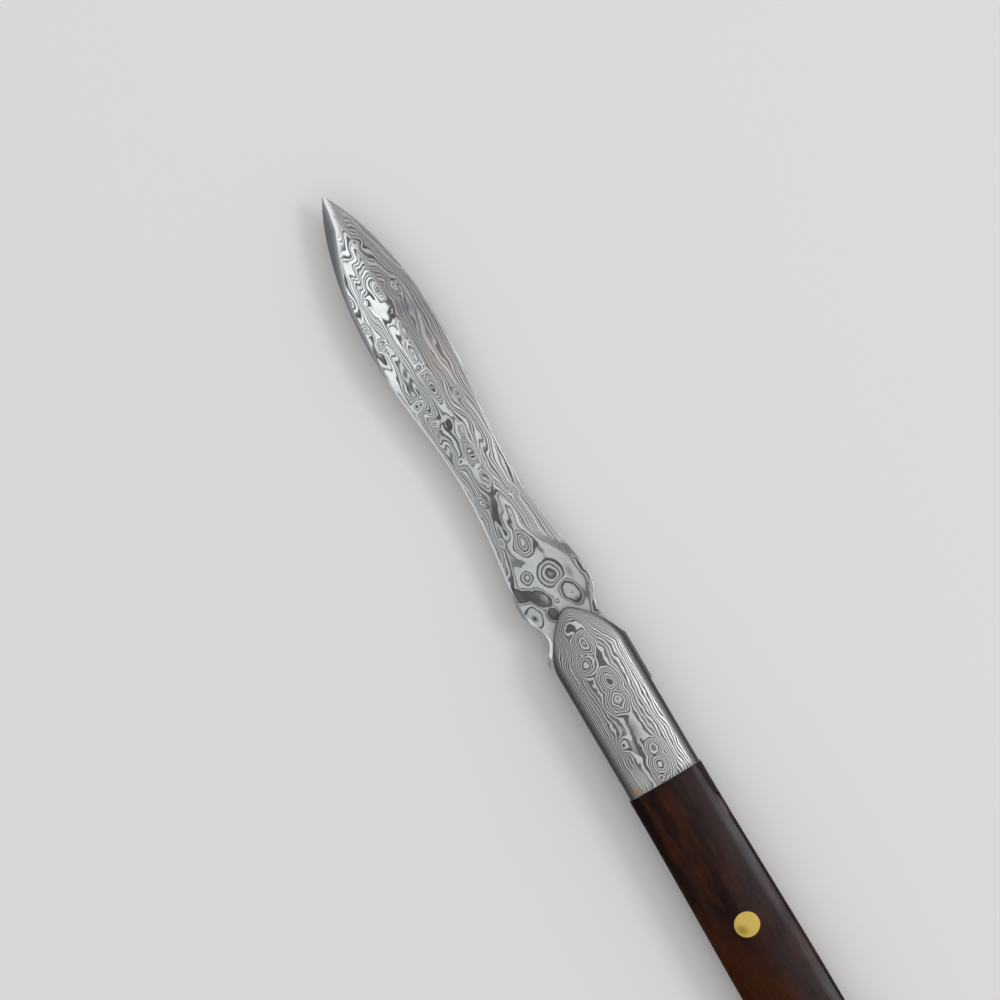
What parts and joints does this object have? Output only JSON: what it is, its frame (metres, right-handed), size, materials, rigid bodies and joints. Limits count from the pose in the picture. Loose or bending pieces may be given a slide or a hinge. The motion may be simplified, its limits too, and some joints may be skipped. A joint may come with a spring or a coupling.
{
  "type": "folding tea knife",
  "caption": "Slim folding tea knife with a leaf-shaped patterned steel blade, domed steel bolsters, dark wood scales and a liner lock.",
  "frame": {"origin": "on the back face that the knife lies on, on the centre line, abreast of the pivot", "axes": "+X from the pivot to the tip, +Y to the spine, +Z out of the front face"},
  "size_m": [0.1714, 0.0134, 0.0106],
  "materials": {
    "pattern_steel": "etched layered pattern, satin",
    "plain_steel": "satin",
    "rosewood": "polished, dark red-brown",
    "brass": "polished flush",
    "bronze": "plain"
  },
  "bodies": {
    "handle": {"front_bolster": "pattern_steel", "back_bolster": "pattern_steel", "front_scale": "rosewood", "back_scale": "rosewood", "front_liner": "plain_steel", "back_liner": "plain_steel", "back_spacer": "plain_steel", "front_washer": "bronze", "back_washer": "bronze", "pivot_pin": "plain_steel", "stop_pin": "plain_steel", "spacer_rivet_fore": "plain_steel", "spacer_rivet_aft": "plain_steel", "front_rivet_fore": "brass", "front_rivet_aft": "brass", "back_rivet_fore": "brass", "back_rivet_aft": "brass"},
    "blade": {"blade": "pattern_steel"},
    "lock": {"lock_leaf": "plain_steel"}
  },
  "joints": [
    {"name": "blade_fold", "type": "hinge", "parent": "handle", "child": "blade", "pos_m": [0, -0.0006, 0.0053], "axis": [0, 0, -1], "range_deg": [0, 180], "deforming": ["lock_leaf"]},
    {"name": "lock_flex", "type": "hinge", "parent": "handle", "child": "lock", "pos_m": [-0.04, 0, 0.00355], "axis": [0, 1, 0], "range_deg": [0, 1.8], "stiffness_Nm_per_rad": 0.02, "springref_deg": -2.86}
  ],
  "couplings": [
    {"joint": "lock_flex", "follows": "blade_fold", "ratio": 0.01}
  ]
}
